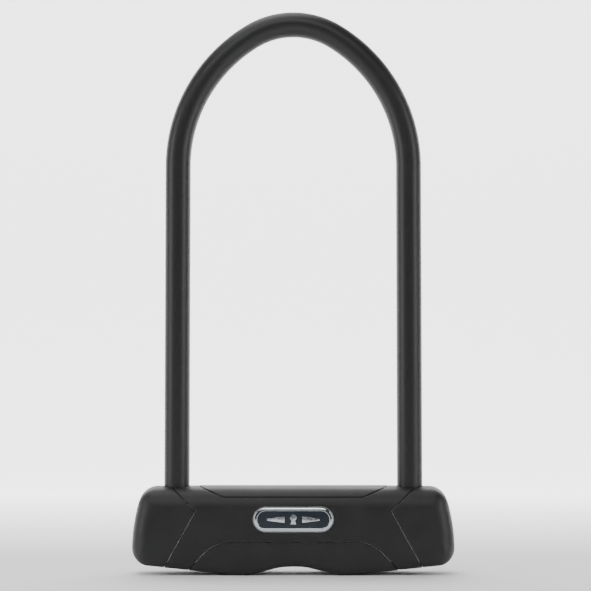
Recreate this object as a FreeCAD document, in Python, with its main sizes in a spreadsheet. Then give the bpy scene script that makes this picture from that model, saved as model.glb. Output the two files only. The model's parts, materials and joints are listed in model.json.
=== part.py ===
import FreeCAD, Part
import math
import os
from types import SimpleNamespace

import Sketcher
from FreeCAD import Rotation, Vector

# A U lock stands on its crossbar. X runs along the crossbar, Z up along the legs of the
# shackle, and the badge faces -Y. The origin is on the floor under the middle of the crossbar.
# The shackle is closed and the bolts are drawn back, so every moving piece can move by itself.

SIZES = {
    # crossbar, outside
    "body_width": (166.4, "end to end"),
    "body_depth": (34.5, "front to back over the two strips"),
    "body_height": (45.65, "floor to the crown of the top strip"),
    "panel_step": (0.25, "covers and end caps lie lower than the strips"),
    "end_r": (90.0, "bow of each end, seen from the front"),
    "end_crest": (13.0, "height at which the ends stand out furthest"),
    "end_rise": (5.3, "the underside climbs by this much towards each end"),
    "end_top_r": (7.0, "upper corner of each end"),
    "end_low_r": (8.0, "lower corner of each end"),
    "end_plan_r": (10.0, "corner of each end, seen from above"),
    "end_clear": (0.3, "the bow of each end stays this far inside the corners' outline"),
    "crown_r": (34.0, "crown of the top"),
    "shoulder_r": (6.0, "shoulder between the crown and each face"),
    "scallop_height": (4.45, "finger scallop under the middle"),
    "scallop_flat": (12.0, "flat part of the scallop"),
    "foot_inner": (45.6, "between the inner edges of the two feet"),
    "foot_outer": (55.0, "between the outer edges of the two feet"),
    # seams between the outer panels
    "seam_gap": (0.2, "gap between two panels"),
    "chevron_x": (50.1, "point of the end cap's chevron"),
    "chevron_z": (32.8, "height of that point"),
    "chevron_top_x": (62.9, "chevron at the top of the crossbar"),
    "chevron_low_x": (68.3, "chevron at floor height"),
    "strip_x": (35.8, "half length of the top strip's lower edge"),
    "strip_z": (39.75, "height of that edge"),
    "strip_flare_x": (49.6, "half length of the top strip at the top"),
    "grip_x": (40.4, "half length of the grip strip's upper edge"),
    "grip_z": (17.05, "height of that edge"),
    "grip_flare_x": (56.6, "half length of the grip strip at floor height"),
    "grip_corner_r": (5.0, "upper corners of the grip strip"),
    # steel case
    "case_length": (149.0, "steel tube along the crossbar"),
    "case_depth": (29.5, "front to back"),
    "case_low": (6.6, "underside of the case"),
    "case_high": (42.4, "top of the case"),
    "case_wall": (2.4, "wall of the case"),
    "case_top_r": (7.0, "upper edges of the case"),
    "case_edge_room": (0.4, "the covers clear those edges by this much in radius"),
    "case_leg_room": (0.2, "around each socket where the foot enters the case"),
    # shackle
    "leg_spacing": (121.2, "between the centre lines of the legs"),
    "bar_d": (12.0, "hardened bar"),
    "sleeve_wall": (0.64, "vinyl sleeve on the bar"),
    "spring_line": (212.5, "height where the legs start to bend"),
    "side_arc": (81.1, "centre line radius from a leg into the arch"),
    "crown_arc": (41.8, "centre line radius over the middle of the arch"),
    "foot_low": (13.0, "bottom of each bare foot"),
    "foot_chamfer": (1.2, "lead-in at the bottom of each foot"),
    "notch_depth": (5.5, "bolt notch in the inner side of each foot"),
    "sleeve_gap": (0.3, "between the sleeve's end and the case"),
    "leg_gap": (0.3, "around the sleeve in the covers"),
    "foot_gap": (0.25, "around the bare foot in its socket"),
    "foot_drop": (0.5, "under the bare foot in its socket"),
    # sockets in the case
    "block_inner": (14.1, "from a leg's centre line to its block's inner end"),
    "block_outer": (12.4, "from a leg's centre line to its block's outer end"),
    "inner_gap": (0.05, "around a piece that fits inside the case"),
    "block_edge_room": (0.3, "the blocks' upper edges are rounder than the case by this much"),
    "block_pin_d": (3.5, "roll pins that hold the blocks"),
    "block_pin_in": (10.6, "from a leg's centre line in to those pins"),
    "block_pin_low": (16.0, "height of the lower pins"),
    "block_pin_high": (25.0, "height of the upper pins"),
    "seal_width": (1.06, "felt ring under each leg hole, from its inside to its outside"),
    "seal_thick": (1.0, "thickness of that ring"),
    # bolts
    "bolt_low": (31.5, "underside of the bolts"),
    "bolt_high": (39.5, "top of the bolts"),
    "bolt_depth": (10.0, "front to back"),
    "bolt_gap": (1.5, "from the middle to each bolt's inner end"),
    "bolt_back": (0.8, "from a drawn back bolt to the foot"),
    "bolt_stroke": (5.0, "travel of each bolt"),
    "bolt_chamfer": (1.2, "lead-in on each bolt's tip"),
    "bolt_play": (0.2, "around a bolt in its channel"),
    "notch_play": (0.5, "above and below a bolt in its notch"),
    "follower_d": (2.5, "pin that rides in the cam"),
    "follower_x": (4.5, "that pin's distance from the key's axis at rest"),
    "follower_deep": (4.0, "how far that pin reaches into its bolt"),
    "channel_gap": (0.5, "between the channel and each block"),
    "channel_depth": (17.0, "front to back over its two walls"),
    "channel_floor": (2.7, "floor of the channel"),
    "channel_top_gap": (0.1, "between the channel's walls and the case"),
    # cylinder and cam
    "cam_thick": (3.0, "drive cam"),
    "cam_d": (24.0, "drive cam"),
    "cam_play": (0.4, "above and below the cam"),
    "slot_play": (0.1, "around a follower pin in its slot"),
    "rotor_d": (14.0, "plug that the key turns"),
    "rotor_play": (0.05, "running fit of the plug"),
    "rotor_bore": (10.6, "bore that holds the discs"),
    "rotor_front": (1.2, "front wall of the plug"),
    "stack_gap": (0.2, "between the last washer and the plug's solid end"),
    "rotor_start": (0.2, "between the bezel and the plug"),
    "tang_d": (4.0, "end of the plug that drives the cam"),
    "tang_flat": (3.0, "across the tang's flats"),
    "tang_play": (0.05, "around the tang in the cam"),
    "housing_x": (16.0, "half length of the cylinder housing"),
    "housing_pin_x": (12.5, "cross pins of the housing"),
    "housing_pin_z": (16.0, "height of those pins"),
    "housing_pin_d": (3.0, "cross pins of the housing"),
    "disc_count": (7, "locking discs"),
    "disc_d": (10.4, "locking discs"),
    "disc_thick": (1.1, "locking disc"),
    "spacer_thick": (0.3, "washer between two discs"),
    "spacer_d": (8.8, "washer between two discs"),
    "spacer_hole": (6.8, "hole of that washer"),
    "guard_thick": (1.5, "hardened disc behind the keyway"),
    "key_width": (6.4, "keyway, round sides"),
    "key_thick": (3.0, "keyway, flat sides"),
    "sidebar_width": (1.8, "sidebar"),
    "sidebar_inner": (4.7, "sidebar, distance from the key's axis"),
    "sidebar_depth": (2.2, "sidebar, across the plug's wall"),
    "sidebar_play": (0.1, "around the sidebar in the plug and the discs"),
    "gate_play": (0.2, "around the sidebar in the housing"),
    "gate_depth": (1.4, "how far the housing's groove lies beyond the plug"),
    "clip_d": (18.0, "retaining clip"),
    "clip_thick": (0.9, "retaining clip"),
    "clip_groove": (0.65, "depth of the clip's groove"),
    "clip_play": (0.05, "around the clip in its groove"),
    "clip_mouth": (5.0, "opening of the clip"),
    "clip_land": (0.6, "from the clip to the top of the plug"),
    "clip_gap": (0.2, "between the housing and the clip"),
    # keyhole
    "bezel_d": (17.0, "bezel pressed into the case"),
    "bezel_hole": (10.0, "hole of the bezel"),
    "shutter_x": (16.0, "keyhole shutter along X"),
    "shutter_depth": (18.2, "keyhole shutter along Y"),
    "shutter_thick": (1.2, "keyhole shutter"),
    "shutter_travel": (14.0, "how far the shutter slides"),
    "shutter_play": (0.2, "around the shutter in its track"),
    "track_lip": (1.0, "how far the track's lips reach under the shutter"),
    "rib_width": (1.4, "thumb ribs of the shutter"),
    "rib_height": (1.4, "thumb ribs of the shutter"),
    # badge
    "badge_z": (28.5, "middle of the badge"),
    "badge_length": (40.4, "chrome frame, outside"),
    "badge_height": (12.2, "chrome frame, outside"),
    "badge_rim": (1.8, "width of the chrome frame"),
    "badge_gap": (0.5, "around the badge in its recess"),
    "badge_recess": (0.8, "depth of that recess"),
    "plate_thick": (0.4, "badge plate"),
    "emblem_thick": (0.25, "raised emblem"),
    "emblem_eye_d": (3.2, "round part of the emblem's keyhole"),
    "emblem_eye_up": (0.9, "from the badge's middle up to that part"),
    "emblem_neck": (1.4, "width of the keyhole's skirt at the top"),
    "emblem_skirt": (3.0, "width of the keyhole's skirt at the bottom"),
    "emblem_drop": (2.4, "from the badge's middle down to the skirt's end"),
    "emblem_bar_start": (4.5, "inner end of each tapered bar"),
    "emblem_bar_end": (13.5, "outer end of each tapered bar"),
    "emblem_bar_wide": (3.2, "height of a bar at its inner end"),
    "emblem_bar_tip": (1.0, "height of a bar at its outer end"),
}

DOC = FreeCAD.newDocument("u_lock")
SHEET = DOC.addObject("Spreadsheet::Sheet", "dims")
NODES = []


class Size:
    """A length that knows both its value and the sheet formula it comes from."""

    def __init__(self, value, formula):
        self.value = value
        self.formula = formula

    def __add__(self, other):
        other = size(other)
        return Size(self.value + other.value, f"({self.formula} + {other.formula})")

    def __sub__(self, other):
        other = size(other)
        return Size(self.value - other.value, f"({self.formula} - {other.formula})")

    def __mul__(self, other):
        other = size(other)
        return Size(self.value * other.value, f"({self.formula} * {other.formula})")

    def __truediv__(self, other):
        other = size(other)
        return Size(self.value / other.value, f"({self.formula} / {other.formula})")

    def __rsub__(self, other):
        return size(other) - self

    def __neg__(self):
        return self * -1

    __radd__ = __add__
    __rmul__ = __mul__


def size(thing):
    return thing if isinstance(thing, Size) else Size(float(thing), repr(float(thing)))


def root(thing):
    return Size(math.sqrt(thing.value), f"sqrt({thing.formula})")


def fill_sheet():
    """Writes every driving size into the sheet and returns them by name."""
    named = {}
    for row, (alias, (number, meaning)) in enumerate(SIZES.items(), start=1):
        SHEET.set(f"A{row}", meaning)
        SHEET.set(f"B{row}", str(number))
        SHEET.setAlias(f"B{row}", alias)
        named[alias] = Size(float(number), f"dims.{alias}")
    DOC.recompute()
    return SimpleNamespace(**named)


# A cutting tool passes the surfaces it cuts by BEYOND, or by FAR where they slope, and
# HAIR is the slack in picking edges by their place.
D = fill_sheet()
SIDES = {"left": -1, "right": 1}
BEYOND = 1
FAR = 5
HAIR = 0.01


# ---------------------------------------------------------------- features

def bind(target, **properties):
    """Binds properties of an object to the sheet, such as Length=D.body_width."""
    for name, amount in properties.items():
        target.setExpression(name, size(amount).formula)


def place(target, x=0, y=0, z=0, turn=None, axis=Vector(0, 0, 1)):
    """Sets an object's placement: its position is bound to the sheet, its turn is fixed."""
    if turn is not None:
        target.Placement.Rotation = Rotation(axis, turn)
    for letter, amount in (("x", x), ("y", y), ("z", z)):
        target.setExpression(f"Placement.Base.{letter}", size(amount).formula)
    return target


def node(name, shape_object):
    """Names a finished sub-part: the label is also its file's name."""
    shape_object.Label = name
    NODES.append(shape_object)
    return shape_object


def new_sketch(body, name, plane, offset=0):
    """An empty sketch on one of the body's own planes."""
    sketch = body.newObject("Sketcher::SketchObject", name)
    origin_planes = {feature.Role: feature for feature in body.Origin.OriginFeatures}
    sketch.AttachmentSupport = [(origin_planes[plane], "")]
    sketch.MapMode = "FlatFace"
    sketch.setExpression("AttachmentOffset.Base.z", size(offset).formula)
    return sketch


def draw(sketch, corners, arcs=None, closed=True):
    """Lines and arcs through the corners, which are bound to the sheet. arcs maps a corner's
    index to the centre of the arc that starts there."""
    arcs = arcs or {}
    corners = [(size(across), size(up)) for across, up in corners]
    spots = [Vector(across.value, up.value, 0) for across, up in corners]
    count = len(spots) if closed else len(spots) - 1
    for index in range(count):
        start = spots[index]
        end = spots[(index + 1) % len(spots)]
        if index in arcs:
            across, up = arcs[index]
            centre = Vector(size(across).value, size(up).value, 0)
            first = math.atan2(start.y - centre.y, start.x - centre.x)
            last = math.atan2(end.y - centre.y, end.x - centre.x)
            circle = Part.Circle(centre, Vector(0, 0, 1), (start - centre).Length)
            sketch.addGeometry(Part.ArcOfCircle(circle, first, last))
        else:
            sketch.addGeometry(Part.LineSegment(start, end))
    for index in range(count if closed else count - 1):
        joint = Sketcher.Constraint("Coincident", index, 2, (index + 1) % count, 1)
        sketch.addConstraint(joint)
    for index, (across, up) in enumerate(corners):
        line, end = (index, 1) if index < count else (index - 1, 2)
        tie(sketch, "DistanceX", line, end, across)
        tie(sketch, "DistanceY", line, end, up)
    for index, centre in arcs.items():
        tie_centre(sketch, index, centre, spots[index], spots[(index + 1) % len(spots)])


def tie(sketch, kind, index, spot, distance):
    """Holds one point of the sketch at a distance from its origin, bound to the sheet."""
    held = Sketcher.Constraint(kind, -1, 1, index, spot, distance.value)
    number = sketch.addConstraint(held)
    sketch.setExpression(f"Constraints[{number}]", distance.formula)


def tie_centre(sketch, index, centre, start, end):
    """An arc's centre can only slide on its chord's bisector, so one distance holds it."""
    upright_chord = abs(end.y - start.y) > abs(end.x - start.x)
    if upright_chord:
        tie(sketch, "DistanceX", index, 3, size(centre[0]))
    else:
        tie(sketch, "DistanceY", index, 3, size(centre[1]))


def push(body, sketch, length, both_ways):
    pad = body.newObject("PartDesign::Pad", f"{body.Name}_pad")
    pad.Profile = sketch
    pad.SideType = "Symmetric" if both_ways else "One side"
    bind(pad, Length=length)


def prism(name, plane, corners, length, arcs=None, offset=0, both_ways=False):
    """A body made by pushing one outline along its plane's normal."""
    body = DOC.addObject("PartDesign::Body", name)
    sketch = new_sketch(body, f"{name}_outline", plane, offset)
    draw(sketch, corners, arcs)
    push(body, sketch, length, both_ways)
    return body


def round_edges(body, radius, wanted):
    """Rounds those edges of the body for which wanted(edge) is true."""
    fillet = dress(body, "PartDesign::Fillet", wanted)
    bind(fillet, Radius=radius)


def bevel_edges(body, width, wanted):
    """Chamfers those edges of the body for which wanted(edge) is true."""
    chamfer = dress(body, "PartDesign::Chamfer", wanted)
    bind(chamfer, Size=width)


def dress(body, kind, wanted):
    DOC.recompute()
    names = [f"Edge{i}" for i, edge in enumerate(body.Shape.Edges, start=1) if wanted(edge)]
    base = body.Tip
    feature = body.newObject(kind, f"{body.Name}_edges")
    feature.Base = (base, names)
    return feature


def box(name, x, y, z):
    """A box between two limits on each axis."""
    block = DOC.addObject("Part::Box", name)
    bind(block, Length=size(x[1]) - x[0], Width=size(y[1]) - y[0], Height=size(z[1]) - z[0])
    return place(block, x[0], y[0], z[0])


def upright(name, diameter, low, high, x=0, y=0):
    """A cylinder along Z between two heights."""
    rod = DOC.addObject("Part::Cylinder", name)
    bind(rod, Radius=diameter / 2, Height=size(high) - low)
    return place(rod, x, y, low)


def across(name, diameter, length, x, z):
    """A cylinder along Y, centred on the middle of the crossbar."""
    rod = DOC.addObject("Part::Cylinder", name)
    bind(rod, Radius=diameter / 2, Height=length)
    return place(rod, x, size(length) / 2, z, turn=90, axis=Vector(1, 0, 0))


def fuse(name, pieces):
    joined = DOC.addObject("Part::MultiFuse", name)
    joined.Shapes = pieces
    return joined


def group(name, pieces):
    """Identical loose pieces that share one node as separate solids."""
    gathered = DOC.addObject("Part::Compound", name)
    gathered.Links = pieces
    return gathered


def common(name, pieces):
    shared = DOC.addObject("Part::MultiCommon", name)
    shared.Shapes = pieces
    return shared


def cut(name, base, tools):
    result = DOC.addObject("Part::Cut", name)
    result.Base = base
    result.Tool = tools[0] if len(tools) == 1 else fuse(f"{name}_tools", tools)
    return result


def along(axis):
    """Picks the straight edges that run along one axis."""
    def wanted(edge):
        run = edge.Vertexes[-1].Point - edge.Vertexes[0].Point
        return run.Length > HAIR and abs(run.dot(axis)) > 0.999 * run.Length
    return wanted


def span(sign, near, far):
    """The limits along X of something between two distances from the middle, on one side."""
    return sorted((sign * near, sign * far), key=lambda edge: edge.value)


X_AXIS = Vector(1, 0, 0)
Y_AXIS = Vector(0, 1, 0)
Z_AXIS = Vector(0, 0, 1)


# ---------------------------------------------------------------- shared forms

LEG_X = D.leg_spacing / 2
SLEEVE_D = D.bar_d + 2 * D.sleeve_wall
LEG_HOLE_D = SLEEVE_D + 2 * D.leg_gap
SEAL_D = LEG_HOLE_D + 2 * D.seal_width
SOCKET_D = D.bar_d + 2 * D.foot_gap
BLOCK_INNER_X = LEG_X - D.block_inner
BLOCK_PIN_X = LEG_X - D.block_pin_in
INSIDE_LOW = D.case_low + D.case_wall
INSIDE_HIGH = D.case_high - D.case_wall
INSIDE_Y = D.case_depth / 2 - D.case_wall - D.inner_gap
NOTCH_LOW = D.bolt_low - D.notch_play
NOTCH_HIGH = D.bolt_high + D.notch_play
WINDOW_Y = D.bolt_depth / 2 + D.bolt_play
TIP_X = LEG_X - D.bar_d / 2 - D.bolt_back
CHANNEL_FLOOR = D.bolt_low - D.bolt_play
CAM_HIGH = CHANNEL_FLOOR - D.channel_floor - D.cam_play
CAM_LOW = CAM_HIGH - D.cam_thick
ROTOR_LOW = INSIDE_LOW + D.rotor_start
ROTOR_HIGH = CAM_LOW - D.cam_play
DISCS_LOW = ROTOR_LOW + D.rotor_front + D.guard_thick
CLIP_LOW = ROTOR_HIGH - D.clip_thick - D.clip_land
HOUSING_HIGH = CLIP_LOW - D.clip_gap


def mirrored(right_half):
    """The corners of a symmetrical outline, from those right of the middle, low to high."""
    return right_half + [(-size(x), z) for x, z in reversed(right_half)]


def outer_form(name, step):
    """The crossbar's outside with its faces, top and underside moved in by step."""
    top = D.body_height - step
    depth = D.body_depth - 2 * step
    bow_x = D.body_width / 2 - D.end_r
    rise = D.end_rise + step
    low_x = bow_x + root(D.end_r * D.end_r - (rise - D.end_crest) * (rise - D.end_crest))
    top_x = bow_x + root(D.end_r * D.end_r - (top - D.end_crest) * (top - D.end_crest))
    right_half = [
        (D.scallop_flat / 2, D.scallop_height + step),
        (D.foot_inner / 2, size(step)),
        (D.foot_outer / 2, size(step)),
        (low_x, rise),
        (top_x, top),
    ]
    bows = {3: (bow_x, D.end_crest), 5: (-bow_x, D.end_crest)}
    front = prism(f"{name}_front", "XZ_Plane", mirrored(right_half), depth, bows, both_ways=True)
    lines = along(Y_AXIS)
    corner_x = min(low_x.value, top_x.value) - HAIR
    middle_z = D.end_crest.value

    def corner(edge, upper):
        centre = edge.BoundBox.Center
        return lines(edge) and abs(centre.x) > corner_x and (centre.z > middle_z) == upper

    round_edges(front, D.end_top_r, lambda e: corner(e, True))
    round_edges(front, D.end_low_r, lambda e: corner(e, False))

    shoulder_z = top - D.crown_r + root(D.crown_r * D.crown_r - depth * depth / 4)
    section = [(depth / 2, 0), (depth / 2, shoulder_z), (-depth / 2, shoulder_z), (-depth / 2, 0)]
    side = prism(f"{name}_side", "YZ_Plane", section, D.body_width + 2 * BEYOND,
                 {1: (0, top - D.crown_r)}, both_ways=True)
    long_edges = along(X_AXIS)
    round_edges(side, D.shoulder_r, lambda e: long_edges(e) and e.BoundBox.ZMin > HAIR)

    half_x = D.body_width / 2 + D.end_clear
    half_y = depth / 2
    corners = [(-half_x, -half_y), (half_x, -half_y), (half_x, half_y), (-half_x, half_y)]
    plan = prism(f"{name}_plan", "XY_Plane", corners, D.body_height)
    round_edges(plan, D.end_plan_r, along(Z_AXIS))
    return common(name, [front, side, plan])


def case_form(name, depth, low, high, length, radius):
    """A block along X whose two upper edges are rounded."""
    half_x = size(length) / 2
    half_y = size(depth) / 2
    section = [(-half_y, low), (half_y, low), (half_y, high), (-half_y, high)]
    block = prism(name, "YZ_Plane", section, 2 * half_x, both_ways=True)
    middle = (size(low).value + size(high).value) / 2
    long_edges = along(X_AXIS)
    round_edges(block, radius, lambda e: long_edges(e) and e.BoundBox.ZMin > middle)
    return block


PANEL_FORM = outer_form("panel_form", D.panel_step)
STRIP_FORM = outer_form("strip_form", size(0))
CASE_SPACE = case_form("case_space", D.case_depth, D.case_low, D.case_high, D.case_length,
                       D.case_top_r - D.case_edge_room)
LEG_SPACES = [
    upright(f"leg_space_{side}", LEG_HOLE_D, D.case_high - BEYOND, D.body_height + BEYOND, sign * LEG_X)
    for side, sign in SIDES.items()
]
SEAL_SPACES = [
    upright(f"seal_space_{side}", SEAL_D, D.case_high - BEYOND, D.case_high + D.seal_thick, sign * LEG_X)
    for side, sign in SIDES.items()
]


# ---------------------------------------------------------------- outer panels

def past_chevron(name, sign, gap):
    """The space beyond one end cap's chevron, drawn in by gap."""
    high = D.body_height + FAR
    slope_up = (D.chevron_top_x - D.chevron_x) / (D.body_height - D.panel_step - D.chevron_z)
    slope_down = (D.chevron_low_x - D.chevron_x) / D.chevron_z
    tip = D.chevron_x + gap
    out = D.body_width / 2 + FAR
    corners = [
        (sign * tip, D.chevron_z),
        (sign * (tip + slope_down * (D.chevron_z + FAR)), -FAR),
        (sign * out, -FAR),
        (sign * out, high),
        (sign * (tip + slope_up * (high - D.chevron_z)), high),
    ]
    return prism(name, "XZ_Plane", corners, D.body_depth + 2 * BEYOND, both_ways=True)


def strip_space(name, gap):
    """The space of the top strip, grown by gap."""
    high = D.body_height + FAR
    slope = (D.strip_flare_x - D.strip_x) / (D.body_height - D.panel_step - D.strip_z)
    low_x = D.strip_x + gap
    low_z = D.strip_z - gap
    right_half = [(low_x, low_z), (low_x + slope * (high - low_z), high)]
    return prism(name, "XZ_Plane", mirrored(right_half), D.body_depth + 2 * BEYOND, both_ways=True)


def grip_space(name, gap):
    """The space of the grip strip, grown by gap."""
    slope = (D.grip_flare_x - D.grip_x) / D.grip_z
    high_x = D.grip_x + gap
    high_z = D.grip_z + gap
    right_half = [(high_x + slope * (high_z + FAR), -FAR), (high_x, high_z)]
    space = prism(name, "XZ_Plane", mirrored(right_half), D.body_depth + 2 * BEYOND, both_ways=True)
    lines = along(Y_AXIS)
    round_edges(space, D.grip_corner_r, lambda e: lines(e) and e.BoundBox.ZMin > 0)
    return space


def end_caps():
    """The right cap is the left one's mirror image."""
    inside = past_chevron("cap_space", SIDES["left"], D.seam_gap / 2)
    shell = common("cap_shell", [PANEL_FORM, inside])
    taken = [CASE_SPACE, LEG_SPACES[0], SEAL_SPACES[0]]
    left = node("end_cap_left", cut("end_cap_left", shell, taken))
    right = DOC.addObject("Part::Mirroring", "end_cap_right")
    right.Source = left
    right.Normal = X_AXIS
    node("end_cap_right", right)


def covers():
    """The covers are one shell and its mirror image, and the front one has the badge's recess."""
    far = D.body_width
    half = box("cover_half", (-far, far), (-D.body_depth, -D.seam_gap / 2), (-FAR, D.body_height + FAR))
    shell = common("cover_shell", [PANEL_FORM, half])
    around = [past_chevron(f"beyond_{side}", sign, -D.seam_gap / 2) for side, sign in SIDES.items()]
    around += [strip_space("strip_clear", D.seam_gap / 2), grip_space("grip_clear", D.seam_gap / 2)]
    plain = cut("plain_cover", shell, [CASE_SPACE] + LEG_SPACES + SEAL_SPACES + around)
    node("front_cover", cut("front_cover", plain, [badge_recess()]))
    rear = DOC.addObject("Part::Mirroring", "rear_cover")
    rear.Source = plain
    rear.Normal = Y_AXIS
    node("rear_cover", rear)


def top_strip():
    shell = common("top_strip_shell", [STRIP_FORM, strip_space("strip_space", -D.seam_gap / 2)])
    node("top_strip", cut("top_strip", shell, [CASE_SPACE]))


SHUTTER_HIGH = D.case_low - D.shutter_play
SHUTTER_LOW = SHUTTER_HIGH - D.shutter_thick


def grip_strip():
    """The strip under the case, with the track of the keyhole shutter in its underside."""
    shell = common("grip_strip_shell", [STRIP_FORM, grip_space("grip_space", -D.seam_gap / 2)])
    left = -D.shutter_x / 2 - D.shutter_play
    right = D.shutter_x / 2 + D.shutter_travel + D.shutter_play
    track_y = D.shutter_depth / 2 + D.shutter_play
    mouth_y = D.shutter_depth / 2 - D.track_lip
    track = box("shutter_track", (left, right), (-track_y, track_y),
                (SHUTTER_LOW - D.shutter_play, D.case_low + BEYOND))
    mouth = box("shutter_mouth", (left, right), (-mouth_y, mouth_y), (-BEYOND, D.case_low + BEYOND))
    node("grip_strip", cut("grip_strip", shell, [CASE_SPACE, track, mouth]))


def keyhole_shutter():
    """A plate that slides over the keyhole, with two ribs for a thumb."""
    half_x = D.shutter_x / 2
    half_y = D.shutter_depth / 2
    plate = box("shutter_plate", (-half_x, half_x), (-half_y, half_y), (SHUTTER_LOW, SHUTTER_HIGH))
    ribs = [
        box(f"shutter_rib_{number}", (x, x + D.rib_width), (-half_y / 2, half_y / 2),
            (SHUTTER_LOW - D.rib_height, SHUTTER_HIGH))
        for number, x in enumerate((-D.shutter_x / 8 - D.rib_width, D.shutter_x / 8), start=1)
    ]
    node("keyhole_shutter", fuse("keyhole_shutter", [plate] + ribs))


# ---------------------------------------------------------------- badge

def stadium(name, length, height, front, back):
    """An upright plate with round ends, between two depths, facing -Y."""
    half_x = length / 2 - height / 2
    half_z = height / 2
    corners = [
        (-half_x, D.badge_z - half_z),
        (half_x, D.badge_z - half_z),
        (half_x, D.badge_z + half_z),
        (-half_x, D.badge_z + half_z),
    ]
    ends = {1: (half_x, D.badge_z), 3: (-half_x, D.badge_z)}
    return prism(name, "XZ_Plane", corners, size(front) - back, ends, offset=back)


PANEL_FACE = D.body_depth / 2 - D.panel_step
RECESS_FLOOR = PANEL_FACE - D.badge_recess
PLATE_FACE = RECESS_FLOOR + D.plate_thick


def badge_recess():
    return stadium("badge_recess", D.badge_length + 2 * D.badge_gap, D.badge_height + 2 * D.badge_gap,
                   PANEL_FACE + BEYOND, RECESS_FLOOR)


def badge():
    frame_out = stadium("badge_outside", D.badge_length, D.badge_height, D.body_depth / 2, RECESS_FLOOR)
    inner = (D.badge_length - 2 * D.badge_rim, D.badge_height - 2 * D.badge_rim)
    frame_in = stadium("badge_inside", *inner, D.body_depth / 2 + BEYOND, RECESS_FLOOR - BEYOND)
    node("badge_frame", cut("badge_frame", frame_out, [frame_in]))
    node("badge_plate", stadium("badge_plate", *inner, PLATE_FACE, RECESS_FLOOR))
    node("badge_emblem", group("badge_emblem", emblem_pieces()))


def emblem_pieces():
    """A small keyhole between two tapered bars."""
    depth = D.emblem_thick
    eye_z = D.badge_z + D.emblem_eye_up
    eye = across("emblem_eye", D.emblem_eye_d, depth, size(0), eye_z)
    bind(eye, **{"Placement.Base.y": -PLATE_FACE})
    neck = D.emblem_neck / 2
    skirt_x = D.emblem_skirt / 2
    low = D.badge_z - D.emblem_drop
    outline = [(-skirt_x, low), (skirt_x, low), (neck, eye_z), (-neck, eye_z)]
    skirt = prism("emblem_skirt", "XZ_Plane", outline, depth, offset=PLATE_FACE)
    pieces = [fuse("emblem_keyhole", [eye, skirt])]
    for side, sign in SIDES.items():
        corners = [
            (sign * D.emblem_bar_start, D.badge_z - D.emblem_bar_wide / 2),
            (sign * D.emblem_bar_end, D.badge_z - D.emblem_bar_tip / 2),
            (sign * D.emblem_bar_end, D.badge_z + D.emblem_bar_tip / 2),
            (sign * D.emblem_bar_start, D.badge_z + D.emblem_bar_wide / 2),
        ]
        pieces.append(prism(f"emblem_bar_{side}", "XZ_Plane", corners, depth, offset=PLATE_FACE))
    return pieces


# ---------------------------------------------------------------- steel case and sockets

def pin_holes():
    """The cross pins' holes, which the case, the blocks and the housing share."""
    holes = [
        across(f"block_hole_{side}_{level}", D.block_pin_d, D.body_depth, sign * BLOCK_PIN_X, z)
        for side, sign in SIDES.items()
        for level, z in (("low", D.block_pin_low), ("high", D.block_pin_high))
    ]
    holes += [
        across(f"housing_hole_{side}", D.housing_pin_d, D.body_depth,
               sign * D.housing_pin_x, D.housing_pin_z)
        for side, sign in SIDES.items()
    ]
    return holes


PIN_HOLES = pin_holes()


def lock_case():
    outside = case_form("case_outside", D.case_depth, D.case_low, D.case_high, D.case_length,
                        D.case_top_r)
    inside = case_form("case_inside", D.case_depth - 2 * D.case_wall, INSIDE_LOW, INSIDE_HIGH,
                       D.case_length + 2 * BEYOND, D.case_top_r - D.case_wall)
    leg_holes = [
        upright(f"case_leg_hole_{side}", SOCKET_D + 2 * D.case_leg_room, INSIDE_HIGH - BEYOND,
                D.case_high + BEYOND, sign * LEG_X)
        for side, sign in SIDES.items()
    ]
    key_hole = upright("case_key_hole", D.bezel_d, D.case_low - BEYOND, INSIDE_LOW + BEYOND)
    node("lock_case", cut("lock_case", outside, [inside, key_hole] + leg_holes + PIN_HOLES))


def socket_block(side, sign):
    """The block that takes one foot, with a window for the bolt."""
    middle = sign * (LEG_X + (D.block_outer - D.block_inner) / 2)
    block = case_form(f"{side}_block", 2 * INSIDE_Y, INSIDE_LOW, INSIDE_HIGH,
                      D.block_inner + D.block_outer, D.case_top_r - D.case_wall + D.block_edge_room)
    place(block, x=middle)
    socket = upright(f"{side}_socket", SOCKET_D, D.foot_low - D.foot_drop, D.case_high, sign * LEG_X)
    reach = span(sign, BLOCK_INNER_X - BEYOND, LEG_X)
    window = box(f"{side}_window", reach, (-WINDOW_Y, WINDOW_Y),
                 (D.bolt_low - D.bolt_play, D.bolt_high + D.bolt_play))
    node(f"socket_block_{side}", cut(f"socket_block_{side}", block, [socket, window] + PIN_HOLES))


def pins():
    """Roll pins through the blocks and plain pins through the housing."""
    block_pins = [
        across(f"block_pin_{side}_{level}", D.block_pin_d, D.case_depth, sign * BLOCK_PIN_X, z)
        for side, sign in SIDES.items()
        for level, z in (("low", D.block_pin_low), ("high", D.block_pin_high))
    ]
    node("block_pins", group("block_pins", block_pins))
    housing_pins = [
        across(f"housing_pin_{side}", D.housing_pin_d, D.case_depth, sign * D.housing_pin_x,
               D.housing_pin_z)
        for side, sign in SIDES.items()
    ]
    node("housing_pins", group("housing_pins", housing_pins))


def leg_seal(side, sign):
    ring = upright(f"{side}_seal_ring", SEAL_D, D.case_high, D.case_high + D.seal_thick, sign * LEG_X)
    node(f"leg_seal_{side}", cut(f"leg_seal_{side}", ring, [LEG_SPACES[list(SIDES).index(side)]]))


# ---------------------------------------------------------------- shackle

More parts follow.
